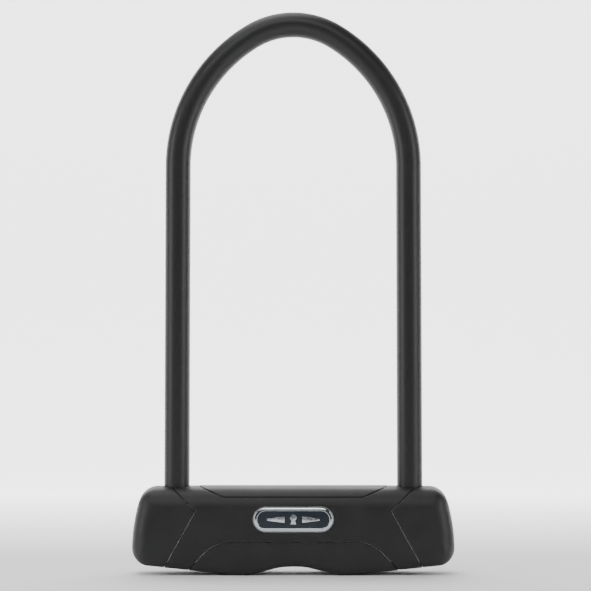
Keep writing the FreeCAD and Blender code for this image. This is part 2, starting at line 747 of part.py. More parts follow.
def swept_bar(name, diameter, low):
    """A round bar along the shackle's centre line, its two ends at height low. The line is two
    legs, two side arcs and the crown arc."""
    body = DOC.addObject("PartDesign::Body", name)
    path = new_sketch(body, f"{name}_path", "XZ_Plane")
    offset = D.side_arc - LEG_X
    reach = D.side_arc - D.crown_arc
    crown_z = D.spring_line + root(reach * reach - offset * offset)
    join_x = D.side_arc * offset / reach - offset
    join_z = D.spring_line + D.side_arc * (crown_z - D.spring_line) / reach
    corners = [(LEG_X, low), (LEG_X, D.spring_line), (join_x, join_z), (-join_x, join_z),
               (-LEG_X, D.spring_line), (-LEG_X, low)]
    centres = {1: (-offset, D.spring_line), 2: (size(0), crown_z), 3: (offset, D.spring_line)}
    draw(path, corners, centres, closed=False)
    section = new_sketch(body, f"{name}_section", "XY_Plane", low)
    section.addGeometry(Part.Circle(Vector(LEG_X.value, 0, 0), Vector(0, 0, 1), diameter.value / 2))
    tie(section, "DistanceX", 0, 3, LEG_X)
    section.addConstraint(Sketcher.Constraint("PointOnObject", 0, 3, -1))
    radius = section.addConstraint(Sketcher.Constraint("Radius", 0, diameter.value / 2))
    section.setExpression(f"Constraints[{radius}]", (diameter / 2).formula)
    pipe = body.newObject("PartDesign::AdditivePipe", f"{name}_pipe")
    pipe.Profile = section
    pipe.Spine = (path, [])
    return body


def shackle():
    rod = swept_bar("shackle_rod", D.bar_d, D.foot_low)
    low = D.foot_low.value + HAIR
    bevel_edges(rod, D.foot_chamfer, lambda e: e.BoundBox.ZMax < low)
    notches = []
    for side, sign in SIDES.items():
        inner = LEG_X - D.bar_d / 2
        reach = span(sign, inner - BEYOND, inner + D.notch_depth)
        notches.append(box(f"notch_{side}", reach, (-D.bar_d, D.bar_d), (NOTCH_LOW, NOTCH_HIGH)))
    node("shackle_bar", cut("shackle_bar", rod, notches))

    outside = swept_bar("sleeve_outside", SLEEVE_D, D.case_high + D.sleeve_gap)
    inside = swept_bar("sleeve_inside", D.bar_d, D.case_high + D.sleeve_gap)
    node("shackle_sleeve", cut("shackle_sleeve", outside, [inside]))


# ---------------------------------------------------------------- bolts and cam

def bolt(side, sign):
    ends = span(sign, D.bolt_gap, TIP_X)
    half_y = D.bolt_depth / 2
    corners = [(ends[0], -half_y), (ends[1], -half_y), (ends[1], half_y), (ends[0], half_y)]
    bar = prism(f"{side}_bolt_bar", "XY_Plane", corners, D.bolt_high - D.bolt_low, offset=D.bolt_low)
    tip = TIP_X.value - HAIR
    bevel_edges(bar, D.bolt_chamfer, lambda e: abs(e.BoundBox.Center.x) > tip)
    pin_x = sign * D.follower_x
    pin_high = D.bolt_low + D.follower_deep
    hole = upright(f"{side}_follower_hole", D.follower_d, D.bolt_low - BEYOND, pin_high, pin_x)
    node(f"bolt_{side}", cut(f"bolt_{side}", bar, [hole]))
    pin = upright(f"{side}_follower_pin", D.follower_d, CAM_LOW + D.cam_play, pin_high, pin_x)
    node(f"follower_pin_{side}", pin)


def bolt_channel():
    half_x = BLOCK_INNER_X - D.channel_gap
    floor = box("channel_floor_plate", (-half_x, half_x), (-INSIDE_Y, INSIDE_Y),
                (CHANNEL_FLOOR - D.channel_floor, CHANNEL_FLOOR))
    walls = box("channel_walls", (-half_x, half_x), (-D.channel_depth / 2, D.channel_depth / 2),
                (CHANNEL_FLOOR - D.channel_floor / 2, INSIDE_HIGH - D.channel_top_gap))
    run = box("channel_run", (-half_x - BEYOND, half_x + BEYOND), (-WINDOW_Y, WINDOW_Y),
              (CHANNEL_FLOOR, D.case_high))
    slots = []
    for side, sign in SIDES.items():
        reach = span(sign, D.follower_x - D.follower_d, D.follower_x + D.bolt_stroke + D.follower_d)
        slots.append(box(f"channel_slot_{side}", reach, (-D.follower_d, D.follower_d),
                         (CHANNEL_FLOOR - D.channel_floor - BEYOND, CHANNEL_FLOOR + BEYOND)))
    body = fuse("channel_block", [floor, walls])
    node("bolt_channel", cut("bolt_channel", body, [run] + slots))


def tang(name, play, low, high):
    """The double-D end of the plug, or its hole when play is added."""
    half = D.tang_d / 2 + play
    flat = D.tang_flat / 2 + play
    rod = upright(f"{name}_round", 2 * half, low, high)
    flats = box(f"{name}_flats", (-half, half), (-flat, flat), (low, high))
    return common(name, [rod, flats])


def spiral_slot(name, turn):
    """A curved slot whose middle line is an Archimedean spiral over a quarter turn. No feature
    draws one, so its outline is worked out here from the sheet's sizes."""
    start = SHEET.get("follower_x")
    growth = SHEET.get("bolt_stroke") / (math.pi / 2)
    half_width = SHEET.get("follower_d") / 2 + SHEET.get("slot_play")
    steps = 12
    inner = []
    outer = []
    ends = []
    for step in range(steps + 1):
        angle = step / steps * math.pi / 2
        radius = start + growth * angle
        away = Vector(math.cos(angle), math.sin(angle), 0)
        ahead = growth * away + radius * Vector(-math.sin(angle), math.cos(angle), 0)
        ahead.normalize()
        side = Vector(ahead.y, -ahead.x, 0)
        middle = radius * away
        inner.append(middle - half_width * side)
        outer.append(middle + half_width * side)
        if step == 0:
            ends.append(middle - half_width * ahead)
        if step == steps:
            ends.append(middle + half_width * ahead)
    walls = [Part.BSplineCurve(), Part.BSplineCurve()]
    walls[0].interpolate(inner)
    walls[1].interpolate(outer)
    caps = [Part.Arc(inner[0], ends[0], outer[0]), Part.Arc(inner[-1], ends[1], outer[-1])]
    outline = Part.Wire(Part.__sortEdges__([curve.toShape() for curve in walls + caps]))
    slot = DOC.addObject("Part::Feature", name)
    slot.Shape = Part.Face(outline).extrude(Vector(0, 0, SHEET.get("cam_thick") + 2 * BEYOND))
    return place(slot, z=CAM_LOW - BEYOND, turn=turn)


def drive_cam():
    """The two slots are Archimedean spirals, so the bolts move in step with the key."""
    disc = upright("cam_disc", D.cam_d, CAM_LOW, CAM_HIGH)
    slots = [spiral_slot("cam_slot_right", 0), spiral_slot("cam_slot_left", 180)]
    hole = tang("cam_hole", D.tang_play, CAM_LOW - BEYOND, CAM_HIGH + BEYOND)
    node("drive_cam", cut("drive_cam", disc, slots + [hole]))


# ---------------------------------------------------------------- cylinder

def keyway(name, low, high):
    """A round hole with two flat sides."""
    rod = upright(f"{name}_round", D.key_width, low, high)
    half = D.key_thick / 2
    flats = box(f"{name}_flats", (-D.key_width, D.key_width), (-half, half), (low, high))
    return common(name, [rod, flats])


STACK = D.disc_thick + D.spacer_thick
STACK_HIGH = DISCS_LOW + D.disc_count * STACK
SIDEBAR_OUT = D.sidebar_inner + D.sidebar_depth


def sidebar_space(name, inner, outer, play):
    half_y = D.sidebar_width / 2 + play
    return box(name, (inner, outer), (-half_y, half_y), (DISCS_LOW - play, STACK_HIGH + play))


def rotor():
    barrel = upright("rotor_barrel", D.rotor_d, ROTOR_LOW, ROTOR_HIGH)
    drive = tang("rotor_tang", size(0), ROTOR_HIGH - BEYOND, CAM_HIGH)
    bore = upright("rotor_bore_space", D.rotor_bore, ROTOR_LOW + D.rotor_front, STACK_HIGH + D.stack_gap)
    mouth = keyway("rotor_keyway", ROTOR_LOW - BEYOND, ROTOR_LOW + D.rotor_front + BEYOND)
    slit = sidebar_space("rotor_slit", D.sidebar_inner, D.rotor_d, D.sidebar_play)
    groove_out = upright("groove_outside", D.rotor_d + 2 * BEYOND, CLIP_LOW - D.clip_play,
                         CLIP_LOW + D.clip_thick + D.clip_play)
    groove_in = upright("groove_inside", D.rotor_d - 2 * D.clip_groove, CLIP_LOW - BEYOND, ROTOR_HIGH)
    groove = cut("rotor_groove", groove_out, [groove_in])
    body = fuse("rotor_body", [barrel, drive])
    node("rotor", cut("rotor", body, [bore, mouth, slit, groove]))


def disc_pack():
    """The guard disc, then the locking discs with a spacer washer after each."""
    guard_low = ROTOR_LOW + D.rotor_front
    guard = upright("guard_blank", D.disc_d, guard_low, DISCS_LOW)
    guard_way = keyway("guard_keyway", guard_low - BEYOND, DISCS_LOW + BEYOND)
    node("guard_disc", cut("guard_disc", guard, [guard_way]))
    gate = sidebar_space("disc_gate", D.sidebar_inner - D.sidebar_play, D.rotor_d, D.sidebar_play)
    discs = []
    spacers = []
    for number in range(int(D.disc_count.value)):
        low = DISCS_LOW + number * STACK
        high = low + D.disc_thick
        blank = upright(f"disc_blank_{number}", D.disc_d, low, high)
        way = keyway(f"disc_keyway_{number}", low - BEYOND, high + BEYOND)
        discs.append(cut(f"disc_{number}", blank, [way, gate]))
        washer = upright(f"spacer_blank_{number}", D.spacer_d, high, low + STACK)
        hole = upright(f"spacer_hole_{number}", D.spacer_hole, high - BEYOND, low + STACK + BEYOND)
        spacers.append(cut(f"spacer_{number}", washer, [hole]))
    node("locking_discs", group("locking_discs", discs))
    node("disc_spacers", group("disc_spacers", spacers))
    node("sidebar", sidebar_space("sidebar", D.sidebar_inner, SIDEBAR_OUT, size(0)))


def rotor_clip():
    """An open ring in the plug's groove that stops the plug from falling out."""
    ring = upright("clip_ring", D.clip_d, CLIP_LOW, CLIP_LOW + D.clip_thick)
    inner_d = D.rotor_d - 2 * D.clip_groove + 2 * D.clip_play
    hole = upright("clip_hole", inner_d, CLIP_LOW - BEYOND, ROTOR_HIGH)
    half_y = D.clip_mouth / 2
    mouth = box("clip_mouth", (0, D.clip_d), (-half_y, half_y), (CLIP_LOW - BEYOND, ROTOR_HIGH))
    node("rotor_clip", cut("rotor_clip", ring, [hole, mouth]))


def cylinder_housing():
    block = box("housing_block", (-D.housing_x, D.housing_x), (-INSIDE_Y, INSIDE_Y),
                (INSIDE_LOW, HOUSING_HIGH))
    bore = upright("housing_bore", D.rotor_d + 2 * D.rotor_play, INSIDE_LOW - BEYOND,
                   HOUSING_HIGH + BEYOND)
    gate = sidebar_space("housing_gate", size(0), D.rotor_d / 2 + D.gate_depth, D.gate_play)
    node("cylinder_housing", cut("cylinder_housing", block, [bore, gate] + PIN_HOLES))


def keyhole_bezel():
    plug = upright("bezel_plug", D.bezel_d, D.case_low, INSIDE_LOW)
    hole = upright("bezel_opening", D.bezel_hole, D.case_low - BEYOND, INSIDE_LOW + BEYOND)
    node("keyhole_bezel", cut("keyhole_bezel", plug, [hole]))


# ---------------------------------------------------------------- the whole lock

def assemble():
    covers()
    top_strip()
    grip_strip()
    keyhole_shutter()
    badge()
    lock_case()
    pins()
    end_caps()
    for side, sign in SIDES.items():
        socket_block(side, sign)
        leg_seal(side, sign)
        bolt(side, sign)
    bolt_channel()
    drive_cam()
    rotor()
    disc_pack()
    rotor_clip()
    cylinder_housing()
    keyhole_bezel()
    shackle()


def check_document():
    """Stops before anything is written if a feature failed or a sub-part isn't a whole solid."""
    for feature in DOC.Objects:
        failed = {"Invalid", "Error"} & set(feature.State)
        if failed:
            raise RuntimeError(f"{feature.Name} is {failed}")
    for part in NODES:
        shape = part.Shape
        if shape.isNull() or not shape.isValid() or not shape.Solids:
            raise RuntimeError(f"{part.Label} has no valid solid")


def export():
    os.makedirs("parts", exist_ok=True)
    for part in NODES:
        part.Shape.exportStep(f"parts/{part.Label}.step")
        solids = len(part.Shape.Solids)
        print(f"{part.Label}: {solids} solid(s), {part.Shape.Volume / 1000:.2f} cm3")


assemble()
DOC.recompute()
check_document()
export()
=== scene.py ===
import json
import math

import bmesh
import bpy
from mathutils import Matrix, Vector


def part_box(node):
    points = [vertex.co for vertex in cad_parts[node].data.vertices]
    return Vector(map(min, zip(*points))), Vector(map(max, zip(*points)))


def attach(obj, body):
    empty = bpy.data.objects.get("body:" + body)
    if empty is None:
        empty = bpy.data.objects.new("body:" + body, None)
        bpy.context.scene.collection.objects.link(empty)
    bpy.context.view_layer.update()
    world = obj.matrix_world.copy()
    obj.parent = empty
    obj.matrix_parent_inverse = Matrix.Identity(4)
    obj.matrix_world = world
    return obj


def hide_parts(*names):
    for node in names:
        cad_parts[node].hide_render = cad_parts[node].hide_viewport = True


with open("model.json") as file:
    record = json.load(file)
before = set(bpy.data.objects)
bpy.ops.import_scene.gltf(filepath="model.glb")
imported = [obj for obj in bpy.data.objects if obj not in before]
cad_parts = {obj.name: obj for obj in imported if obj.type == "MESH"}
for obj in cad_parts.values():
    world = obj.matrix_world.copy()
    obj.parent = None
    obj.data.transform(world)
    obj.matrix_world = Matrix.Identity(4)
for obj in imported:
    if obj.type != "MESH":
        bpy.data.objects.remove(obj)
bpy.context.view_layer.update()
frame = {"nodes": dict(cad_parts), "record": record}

mm = 0.001
probe = 0.05 * mm

# the plastic skin of the crossbar; its length, top and depth come from the frame
skin = {
    "halfLength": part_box("end_cap_right")[1][0],
    "top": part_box("end_cap_right")[1][2] - 0.15 * mm,
    "halfDepth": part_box("grip_strip")[1][1] - 0.35 * mm,
    "floor": 0.35 * mm,
    "crown": 34 * mm,
    "shoulder": 6 * mm,
    "faceBow": 300 * mm,
    "faceCrest": 20 * mm,
    "endBow": 90 * mm,
    "endCrest": 13 * mm,
    "topCorner": 6 * mm,
    "lowCorner": 8 * mm,
    "planCorner": 9 * mm,
    "lowEdge": 3.5 * mm,
    "cornerFrom": 34 * mm,
    "cornerTo": 42 * mm,
    "edgeBlend": 7 * mm,
    "scallopHeight": 4.45 * mm,
    "scallopFlat": 6 * mm,
    "scallopSoft": 3 * mm,
    "footInner": 22.8 * mm,
    "footOuter": 27.5 * mm,
    "footSoft": 1.2 * mm,
    "endRise": 5.3 * mm,
    "spineEnd": 21 * mm,
    "spineHeight": 22 * mm,
    "rayEnd": 3.0,
    "halvings": 26,
    "cell": 1.2 * mm,
    "wall": 0.8 * mm,
}

# the seams between the panels, seen from the front
seams = {
    "chevron": Vector((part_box("end_cap_right")[0][0], 32.8 * mm)),
    "chevronUp": 1.0176,
    "chevronDown": 0.5548,
    "stripLow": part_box("top_strip")[0][2],
    "stripHalf": 35.8 * mm,
    "stripFlare": 2.44,
    "gripHigh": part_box("grip_strip")[1][2],
    "gripHalf": 40.4 * mm,
    "gripFlare": 0.95,
    "gripCorner": 5 * mm,
    "edgeRadius": 0.5 * mm,
    "halfGap": 0.2 * mm,
}

# how far each panel stands proud of the end caps
levels = {"cap": 0.0, "cover": 0.15 * mm, "strip": 0.35 * mm}

legs = {
    "x": (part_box("shackle_sleeve")[1][0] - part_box("shackle_sleeve")[0][0]) / 2
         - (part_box("shackle_sleeve")[1][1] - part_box("shackle_sleeve")[0][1]) / 2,
    "sleeveRadius": (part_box("shackle_sleeve")[1][1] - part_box("shackle_sleeve")[0][1]) / 2,
    "holeGap": 0.3 * mm,
    "holeFrom": 35 * mm,
}


def roundMax(a, b, radius):
    inner = min(max(a, b), -radius)
    return inner + math.hypot(max(a + radius, 0), max(b + radius, 0))


def roundMin(a, b, radius):
    return -roundMax(-a, -b, radius)


def blend(low, high, value):
    t = min(max((value - low) / (high - low), 0), 1)
    return t * t * (3 - 2 * t)


def softRamp(value, width):
    return (value + math.sqrt(value * value + width * width)) / 2


def underside(x):
    # finger scallop, low foot and the slow climb to the end, as ramps added together
    x = abs(x)
    fall = skin["scallopHeight"] / (skin["footInner"] - skin["scallopFlat"])
    climb = skin["endRise"] / (skin["halfLength"] - skin["footOuter"])
    height = skin["scallopHeight"]
    height -= fall * softRamp(x - skin["scallopFlat"], skin["scallopSoft"])
    height += fall * softRamp(x - skin["footInner"], skin["footSoft"])
    height += climb * softRamp(x - skin["footOuter"], skin["footSoft"])
    return height


footDrop = underside((skin["footInner"] + skin["footOuter"]) / 2)


def skinDistance(p):
    # how far a point lies outside the plastic skin, below zero inside
    x, y, z = abs(p[0]), abs(p[1]), p[2]
    end = math.hypot(x - skin["halfLength"] + skin["endBow"], z - skin["endCrest"])
    end -= skin["endBow"]
    low = underside(x) - footDrop + skin["floor"] - z
    face = math.hypot(y - skin["halfDepth"] + skin["faceBow"], z - skin["faceCrest"])
    face -= skin["faceBow"]
    crown = math.hypot(y, max(z - skin["top"] + skin["crown"], 0)) - skin["crown"]
    section = roundMax(face, crown, skin["shoulder"])
    outline = roundMax(end, low, skin["lowCorner"])
    upper = blend(skin["cornerFrom"], skin["cornerTo"], z)
    ends = skin["planCorner"] + (skin["topCorner"] - skin["planCorner"]) * upper
    near = blend(-skin["edgeBlend"], skin["edgeBlend"], end - low)
    radius = skin["lowEdge"] + (ends - skin["lowEdge"]) * near
    return roundMax(outline, section, radius)


def ontoSkin(p, start=None):
    # slides a point along the line from the skin's spine until it lies on the skin
    if start is None:
        reach = skin["halfLength"] - skin["spineEnd"]
        start = Vector((min(max(p[0], -reach), reach), 0, skin["spineHeight"]))
    ray = Vector(p) - start
    low, high = 0.0, skin["rayEnd"]
    for _ in range(skin["halvings"]):
        middle = (low + high) / 2
        if skinDistance(start + ray * middle) < 0:
            low = middle
        else:
            high = middle
    return start + ray * low


def slopeOf(distance, p, over=1):
    # how a distance changes along each axis from one probe's length behind to one ahead
    slope = Vector((0, 0, 0))
    for axis in range(3):
        ahead, behind = Vector(p), Vector(p)
        ahead[axis] += probe
        behind[axis] -= probe
        slope[axis] = (distance(ahead) - distance(behind)) / over
    return slope


def skinNormal(p):
    return slopeOf(skinDistance, p).normalized()


def faceY(x, z, side=-1):
    # depth of the front (-1) or rear (1) face at a place seen from the front
    return ontoSkin(Vector((x, side * 10 * mm, z)), Vector((x, 0, z))).y


# Regions of the skin: each function is above zero inside its region.

def capRegion(p):
    out = abs(p[0]) - seams["chevron"][0]
    rise = p[2] - seams["chevron"][1]
    up = (out - seams["chevronUp"] * rise) / math.hypot(1, seams["chevronUp"])
    down = (out + seams["chevronDown"] * rise) / math.hypot(1, seams["chevronDown"])
    return min(up, down)


def stripRegion(p):
    rise = p[2] - seams["stripLow"]
    side = seams["stripHalf"] + seams["stripFlare"] * rise - abs(p[0])
    return min(rise, side / math.hypot(1, seams["stripFlare"]))


def gripRegion(p):
    drop = seams["gripHigh"] - p[2]
    side = seams["gripHalf"] + seams["gripFlare"] * drop - abs(p[0])
    return roundMin(drop, side / math.hypot(1, seams["gripFlare"]), seams["gripCorner"])


def legHoleRegion(p):
    if p[2] < legs["holeFrom"]:
        return -1
    return legs["sleeveRadius"] + legs["holeGap"] - math.hypot(abs(p[0]) - legs["x"], p[1])


badge = {
    "z": (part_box("badge_frame")[0][2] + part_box("badge_frame")[1][2]) / 2,
    "halfLength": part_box("badge_frame")[1][0],
    "halfHeight": (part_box("badge_frame")[1][2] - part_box("badge_frame")[0][2]) / 2,
    "gap": 0.5 * mm,
}


def badgeRegion(p):
    if p[1] > 0:
        return -1
    straight = badge["halfLength"] - badge["halfHeight"]
    away = math.hypot(max(abs(p[0]) - straight, 0), p[2] - badge["z"])
    return badge["halfHeight"] + badge["gap"] - away


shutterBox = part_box("keyhole_shutter")
track = {
    "left": shutterBox[0][0] - 0.2 * mm,
    "right": shutterBox[1][0] + 14.2 * mm,
    "halfDepth": shutterBox[1][1] - 1.0 * mm,
    "corner": 1.2 * mm,
    "below": 12 * mm,
}


def trackRegion(p):
    if p[2] > track["below"]:
        return -1
    middle = (track["left"] + track["right"]) / 2
    along = abs(p[0] - middle) - (track["right"] - track["left"]) / 2
    aside = abs(p[1]) - track["halfDepth"]
    return -roundMax(along, aside, track["corner"])


def panelOf(p):
    if max(legHoleRegion(p), badgeRegion(p), trackRegion(p)) > 0:
        return None
    if capRegion(p) > 0:
        return "end_cap_right" if p[0] > 0 else "end_cap_left"
    if stripRegion(p) > 0:
        return "top_strip"
    if gripRegion(p) > 0:
        return "grip_strip"
    return "front_cover" if p[1] < 0 else "rear_cover"


cutting = {
    "tries": 4,
    "flat": 1e-6,
    "snap": 0.36 * skin["cell"],
    "far": 4 * skin["cell"],
    "reach": 1.6,
    "exact": 0.02 * mm,
    "weld": 0.3,
}


def settle(p, region):
    # moves a point on the skin to the edge of a region
    for _ in range(cutting["tries"]):
        slope = slopeOf(region, p, 2 * probe)
        normal = skinNormal(p)
        slope -= normal * slope.dot(normal)
        if slope.length < cutting["flat"]:
            break
        p = ontoSkin(p - slope * (region(p) / slope.length_squared))
    return p


def cutAlong(bm, region, corners=()):
    # puts an edge line of the mesh on the edge of a region: the nearest points slide onto
    # it, and the edges that still cross it are split
    snap = cutting["snap"]
    far = cutting["far"]
    distance = {}
    for vert in bm.verts:
        value = region(vert.co)
        distance[vert] = value if abs(value) < far else math.copysign(far, value)
    for corner in corners:
        nearest = min(bm.verts, key=lambda vert: (vert.co - corner).length_squared)
        nearest.co = corner
        distance[nearest] = 0
    for vert, value in distance.items():
        if value != 0 and abs(value) < cutting["reach"] * snap:
            place = settle(vert.co.copy(), region)
            if (place - vert.co).length < snap and abs(region(place)) < cutting["exact"]:
                vert.co = place
                distance[vert] = 0
    for edge in list(bm.edges):
        a, b = edge.verts
        if distance[a] * distance[b] < 0 and max(abs(distance[a]), abs(distance[b])) < far:
            _, vert = bmesh.utils.edge_split(edge, a, distance[a] / (distance[a] - distance[b]))
            vert.co = settle(ontoSkin(vert.co), region)
            distance[vert] = 0
    line = [vert for vert, value in distance.items() if value == 0]
    onLine = set(line)
    for face in list(bm.faces):
        ends = [vert for vert in face.verts if vert in onLine]
        if len(ends) != 2:
            continue
        beside = {edge.other_vert(ends[0]) for edge in ends[0].link_edges if edge in face.edges}
        if ends[1] not in beside:
            bmesh.utils.face_split(face, *ends)
    bmesh.ops.remove_doubles(bm, verts=line, dist=cutting["weld"] * snap)


def mirrorPlaces(x, z):
    return [Vector((sx * x, faceY(x, z, side), z)) for sx in (-1, 1) for side in (-1, 1)]


def buildSkin():
    bm = bmesh.new()
    bmesh.ops.create_cube(bm, size=1)
    size = Vector((2 * skin["halfLength"], 2 * skin["halfDepth"], skin["top"]))
    bmesh.ops.scale(bm, vec=size, verts=bm.verts)
    bmesh.ops.translate(bm, vec=(0, 0, size.z / 2), verts=bm.verts)
    for axis in range(3):
        lines = []
        for edge in bm.edges:
            run = (edge.verts[0].co - edge.verts[1].co).normalized()
            if abs(run[axis]) > 0.9:
                lines.append(edge)
        cuts = 2 * round(size[axis] / skin["cell"] / 2) - 1
        bmesh.ops.subdivide_edges(bm, edges=lines, cuts=cuts)
    for vert in bm.verts:
        vert.co = ontoSkin(vert.co)
    cutAlong(bm, capRegion, mirrorPlaces(*seams["chevron"]))
    cutAlong(bm, stripRegion, mirrorPlaces(seams["stripHalf"], seams["stripLow"]))
    cutAlong(bm, gripRegion)
    for region in (legHoleRegion, badgeRegion, trackRegion):
        cutAlong(bm, region)
    return bm


def takePanel(whole, name):
    bm = whole.copy()
    away = [face for face in bm.faces if panelOf(face.calc_center_median()) != name]
    bmesh.ops.delete(bm, geom=away, context="FACES")
    return bm


def ringInside(bm, ringed, thickness):
    # insets everything but the rings already made, and returns the new ring's faces
    region = [face for face in bm.faces if face not in ringed]
    done = bmesh.ops.inset_region(bm, faces=region, thickness=thickness, depth=0, use_boundary=True,
                                  use_even_offset=True, use_interpolate=True)
    return ringed | set(done["faces"])


def acrossRim(vert, normal, inner):
    # direction along the skin from a point of the panel's edge into the panel
    ends = [edge.other_vert(vert) for edge in vert.link_edges if edge.is_boundary]
    inward = sum((other.co - vert.co for other in inner), Vector((0, 0, 0)))
    side = normal.cross(ends[0].co - ends[1].co).normalized()
    return side if side.dot(inward) > 0 else -side


def finishPanel(bm, level):
    # rounds the panel's edge with two narrow rings, lifts it to its level and gives it a wall
    radius = seams["edgeRadius"]
    border = {vert for edge in bm.edges if edge.is_boundary for vert in edge.verts}
    first = ringInside(bm, set(), radius / 3)
    ringInside(bm, first, radius * 2 / 3)
    second = {vert for face in first for vert in face.verts} - border
    outside, inside = {}, {}
    for vert in bm.verts:
        normal = skinNormal(vert.co)
        lift = level
        aside = Vector((0, 0, 0))
        if vert in border:
            lift -= radius
            inner = [edge.other_vert(vert) for edge in vert.link_edges if not edge.is_boundary]
            aside = acrossRim(vert, normal, inner) * seams["halfGap"]
        elif vert in second:
            # a third of the way in, so two thirds of the radius from the round edge's centre
            lift -= radius * (1 - math.sqrt(1 - 4 / 9))
        outside[vert] = vert.co + normal * lift + aside
        inside[vert] = vert.co + normal * (level - skin["wall"]) + aside
    faces = bm.faces[:]
    under = {vert: bm.verts.new(place) for vert, place in inside.items()}
    for vert, place in outside.items():
        vert.co = place
    for face in faces:
        for loop in face.loops:
            if loop.edge.is_boundary and loop.vert in border:
                a, b = loop.vert, loop.link_loop_next.vert
                bm.faces.new((b, a, under[a], under[b]))
    for face in faces:
        bm.faces.new([under[vert] for vert in reversed(face.verts)])
    bmesh.ops.recalc_face_normals(bm, faces=bm.faces)


def toObject(bm, name, material, sharp=35):
    mesh = bpy.data.meshes.new(name)
    bm.to_mesh(mesh)
    bm.free()
    mesh.shade_smooth()
    mesh.set_sharp_from_angle(angle=math.radians(sharp))
    mesh.materials.append(material)
    piece = bpy.data.objects.new(name, mesh)
    bpy.context.collection.objects.link(piece)
    return piece


# how fine each pattern is, in features to the metre
pattern = {
    "grain": 2600,
    "plasticCloud": 55,
    "vinylCloud": 40,
    "vinylFine": 900,
    "brushed": 900,
    "metalCloud": 60,
}


def newMaterial(name):
    material = bpy.data.materials.new(name)
    material.use_nodes = True
    tree = material.node_tree
    shader = tree.nodes["Principled BSDF"]
    return material, tree, shader


def addNode(tree, kind, **settings):
    node = tree.nodes.new(kind)
    for name, value in settings.items():
        if hasattr(node, name):
            setattr(node, name, value)
        else:
            node.inputs[name.replace("_", " ")].default_value = value
    return node


def noiseFrom(tree, scale, detail, stretch=(1, 1, 1)):
    place = addNode(tree, "ShaderNodeTexCoord")
    mapping = addNode(tree, "ShaderNodeMapping", Scale=stretch)
    noise = addNode(tree, "ShaderNodeTexNoise", Scale=scale, Detail=detail, Roughness=0.55)
    tree.links.new(place.outputs["Object"], mapping.inputs["Vector"])
    tree.links.new(mapping.outputs["Vector"], noise.inputs["Vector"])
    return noise.outputs["Fac"]


def ramp(tree, source, low, high, span=(0.3, 0.7)):
    node = addNode(tree, "ShaderNodeMapRange")
    node.inputs["From Min"].default_value = span[0]
    node.inputs["From Max"].default_value = span[1]
    node.inputs["To Min"].default_value = low
    node.inputs["To Max"].default_value = high
    tree.links.new(source, node.inputs["Value"])
    return node.outputs["Result"]


def mixColours(tree, source, dark, light):
    node = addNode(tree, "ShaderNodeMix", data_type="RGBA")
    node.inputs["A"].default_value = (*dark, 1)
    node.inputs["B"].default_value = (*light, 1)
    tree.links.new(source, node.inputs["Factor"])
    return node.outputs["Result"]


def bumpFrom(tree, height, strength, distance, below=None):
    node = addNode(tree, "ShaderNodeBump", Strength=strength, Distance=distance)
    tree.links.new(height, node.inputs["Height"])
    if below is not None:
        tree.links.new(below, node.inputs["Normal"])
    return node.outputs["Normal"]


def grainedPlastic(name, dark, light, roughness):
    material, tree, shader = newMaterial(name)
    grain = noiseFrom(tree, pattern["grain"], detail=3)
    cloud = noiseFrom(tree, pattern["plasticCloud"], detail=5)
    spread = ramp(tree, cloud, 0, 1)
    tree.links.new(mixColours(tree, spread, dark, light), shader.inputs["Base Color"])
    tree.links.new(ramp(tree, cloud, *roughness), shader.inputs["Roughness"])
    waves = bumpFrom(tree, cloud, 0.25, 0.05 * mm)
    tree.links.new(bumpFrom(tree, grain, 0.7, 0.05 * mm, waves), shader.inputs["Normal"])
    shader.inputs["Specular IOR Level"].default_value = 0.42
    return material


def satinVinyl(name):
    material, tree, shader = newMaterial(name)
    cloud = noiseFrom(tree, pattern["vinylCloud"], detail=2, stretch=(1, 1, 0.3))
    fine = noiseFrom(tree, pattern["vinylFine"], detail=2)
    spread = ramp(tree, cloud, 0, 1)
    tree.links.new(mixColours(tree, spread, (0.006, 0.006, 0.0065), (0.009, 0.009, 0.0095)),
                   shader.inputs["Base Color"])
    tree.links.new(ramp(tree, fine, 0.40, 0.48), shader.inputs["Roughness"])
    waves = bumpFrom(tree, cloud, 0.35, 0.25 * mm)
    tree.links.new(bumpFrom(tree, fine, 0.12, 0.01 * mm, waves), shader.inputs["Normal"])
    return material


def brightMetal(name, dark, light, roughness, grain=(1, 1, 1), bump=0.004 * mm):
    material, tree, shader = newMaterial(name)
    brushed = noiseFrom(tree, pattern["brushed"], detail=3, stretch=grain)
    cloud = noiseFrom(tree, pattern["metalCloud"], detail=3)
    spread = ramp(tree, cloud, 0, 1)
    tree.links.new(mixColours(tree, spread, dark, light), shader.inputs["Base Color"])
    tree.links.new(ramp(tree, brushed, *roughness), shader.inputs["Roughness"])
    tree.links.new(bumpFrom(tree, brushed, 0.3, bump), shader.inputs["Normal"])
    shader.inputs["Metallic"].default_value = 1
    return material


